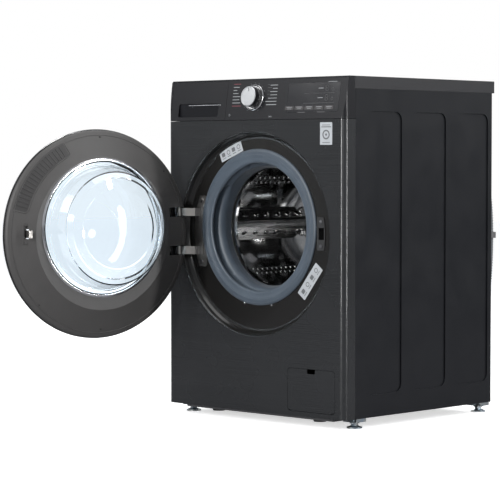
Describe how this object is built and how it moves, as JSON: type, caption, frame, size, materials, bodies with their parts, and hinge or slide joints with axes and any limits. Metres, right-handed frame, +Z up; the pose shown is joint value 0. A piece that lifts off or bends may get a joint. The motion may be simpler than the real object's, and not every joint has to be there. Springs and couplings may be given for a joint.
{
  "type": "front load washing machine",
  "caption": "Free-standing front-loading washing machine with a round hinged door, drum, detergent drawer, programme knob, service flap and levelling feet.",
  "frame": {"origin": "centre of the rectangle of the four levelling feet, on the floor", "axes": "+X to the machine's right seen from the front, +Y to its back, +Z up"},
  "size_m": [0.6723, 1.12, 0.85],
  "materials": {
    "black_steel": "dark brushed-look coated steel, satin",
    "dark_paint": "fine satin powder coat",
    "laminate": "chipboard with a dark satin laminate and edging",
    "gloss_black": "polished black plastic",
    "panel_black": "satin black plastic",
    "window_black": "dark smoked display window",
    "frame_grey": "warm dark grey moulded plastic",
    "grey_plastic": "grey moulded plastic",
    "black_plastic": "black moulded plastic",
    "white_plastic": "off-white moulded plastic",
    "rubber_grey": "blue-grey rubber",
    "hose_grey": "grey corrugated hose",
    "silver": "spun silver",
    "stainless": "polished stainless steel",
    "zinc": "bright zinc plating",
    "cast_alloy": "die-cast aluminium alloy",
    "cast_weight": "rough cast weight",
    "copper_steel": "varnished copper windings on steel",
    "glass": "clear thick pressed glass",
    "circuit": "electronics box"
  },
  "bodies": {
    "cabinet": {"cabinet_wrap": "dark_paint", "front_panel": "black_steel", "control_panel": "panel_black", "display_window": "window_black", "dial_ring": "silver", "top_plate": "laminate", "rear_cover": "dark_paint", "base_pan": "grey_plastic", "base_bumpers": "black_plastic", "drawer_housing": "white_plastic", "door_lock": "black_plastic", "hinge_bracket": "stainless", "screws": "stainless", "door_gasket": "rubber_grey", "controller": "circuit", "inlet_valve": "white_plastic", "drain_pump": "grey_plastic", "drain_outlet": "grey_plastic", "drain_hose": "hose_grey", "hose_cuff": "black_plastic", "hose_clips": "grey_plastic", "cord_gland": "black_plastic", "transit_caps": "grey_plastic", "suspension_springs": "zinc", "fill_bellows": "rubber_grey", "sump_bellows": "rubber_grey"},
    "tub": {"tub_front": "white_plastic", "tub_rear": "white_plastic", "counterweights": "cast_weight", "bearings": "zinc", "stator": "copper_steel", "heater": "zinc"},
    "drum": {"drum_shell": "stainless", "drum_front": "stainless", "drum_back": "stainless", "lifter_1": "stainless", "lifter_2": "stainless", "lifter_3": "stainless", "spider": "cast_alloy", "drive_shaft": "zinc", "rotor": "cast_alloy"},
    "damper_tube_left": {"damper_tube_left": "black_plastic"},
    "damper_tube_right": {"damper_tube_right": "black_plastic"},
    "damper_rod_left": {"damper_rod_left": "zinc"},
    "damper_rod_right": {"damper_rod_right": "zinc"},
    "door": {"door_inner_frame": "frame_grey", "door_outer_frame": "gloss_black", "door_glass": "glass", "door_cover": "glass", "hinge_pins": "stainless"},
    "latch": {"latch_hook": "stainless"},
    "drawer": {"drawer_front": "panel_black", "drawer_tray": "grey_plastic"},
    "dial": {"dial": "silver"},
    "flap": {"filter_flap": "black_steel"},
    "filter": {"filter_cap": "grey_plastic"},
    "foot_front_left": {"foot_front_left": "zinc"},
    "foot_front_right": {"foot_front_right": "zinc"},
    "foot_rear_left": {"foot_rear_left": "zinc"},
    "foot_rear_right": {"foot_rear_right": "zinc"}
  },
  "joints": [
    {"name": "tub_bounce", "type": "slide", "parent": "cabinet", "child": "tub", "axis": [0, 0, 1], "range_m": [-0.01, 0.008], "stiffness_N_per_m": 16000, "springref_m": 0.02657, "deforming": ["suspension_springs", "fill_bellows", "sump_bellows", "door_gasket"]},
    {"name": "drum_spin", "type": "hinge", "parent": "tub", "child": "drum", "pos_m": [0, 0, 0.482], "axis": [0, 1, 0], "continuous": true},
    {"name": "damper_left_top", "type": "hinge", "parent": "tub", "child": "damper_tube_left", "pos_m": [-0.15934, 0, 0.26436], "axis": [0, 1, 0], "range_deg": [-2, 2]},
    {"name": "damper_left_foot", "type": "hinge", "parent": "cabinet", "child": "damper_rod_left", "pos_m": [-0.208, 0, 0.084], "axis": [0, 1, 0], "range_deg": [-2, 2]},
    {"name": "damper_right_top", "type": "hinge", "parent": "tub", "child": "damper_tube_right", "pos_m": [0.15934, 0, 0.26436], "axis": [0, 1, 0], "range_deg": [-2, 2]},
    {"name": "damper_right_foot", "type": "hinge", "parent": "cabinet", "child": "damper_rod_right", "pos_m": [0.208, 0, 0.084], "axis": [0, 1, 0], "range_deg": [-2, 2]},
    {"name": "door_hinge", "type": "hinge", "parent": "cabinet", "child": "door", "pos_m": [-0.2403, -0.328, 0.468], "axis": [0, 0, -1], "range_deg": [-103, 13]},
    {"name": "latch_pivot", "type": "hinge", "parent": "door", "child": "latch", "pos_m": [-0.32627, -0.76927, 0.469], "axis": [0, 0, 1], "range_deg": [-4, 4], "stiffness_Nm_per_rad": 3},
    {"name": "drawer_slide", "type": "slide", "parent": "cabinet", "child": "drawer", "axis": [0, -1, 0], "range_m": [0, 0.18]},
    {"name": "dial_turn", "type": "hinge", "parent": "cabinet", "child": "dial", "pos_m": [-0.005, -0.30258, 0.803], "axis": [0, -0.9885, 0.1513], "continuous": true},
    {"name": "flap_hinge", "type": "hinge", "parent": "cabinet", "child": "flap", "pos_m": [0.19325, -0.3099, 0.0381], "axis": [1, 0, 0], "range_deg": [0, 90]},
    {"name": "filter_turn", "type": "hinge", "parent": "cabinet", "child": "filter", "pos_m": [0.19325, -0.311, 0.092], "axis": [0, 1, 0], "range_deg": [-540, 0]},
    {"name": "foot_front_left_height", "type": "slide", "parent": "cabinet", "child": "foot_front_left", "axis": [0, 0, -1], "range_m": [-0.006, 0.018]},
    {"name": "foot_front_right_height", "type": "slide", "parent": "cabinet", "child": "foot_front_right", "axis": [0, 0, -1], "range_m": [-0.006, 0.018]},
    {"name": "foot_rear_left_height", "type": "slide", "parent": "cabinet", "child": "foot_rear_left", "axis": [0, 0, -1], "range_m": [-0.006, 0.018]},
    {"name": "foot_rear_right_height", "type": "slide", "parent": "cabinet", "child": "foot_rear_right", "axis": [0, 0, -1], "range_m": [-0.006, 0.018]}
  ],
  "couplings": [
    {"joint": "damper_left_top", "follows": "tub_bounce", "rad_per_m": -1.3944},
    {"joint": "damper_left_foot", "follows": "tub_bounce", "rad_per_m": -1.3944},
    {"joint": "damper_right_top", "follows": "tub_bounce", "rad_per_m": 1.3944},
    {"joint": "damper_right_foot", "follows": "tub_bounce", "rad_per_m": 1.3944}
  ]
}
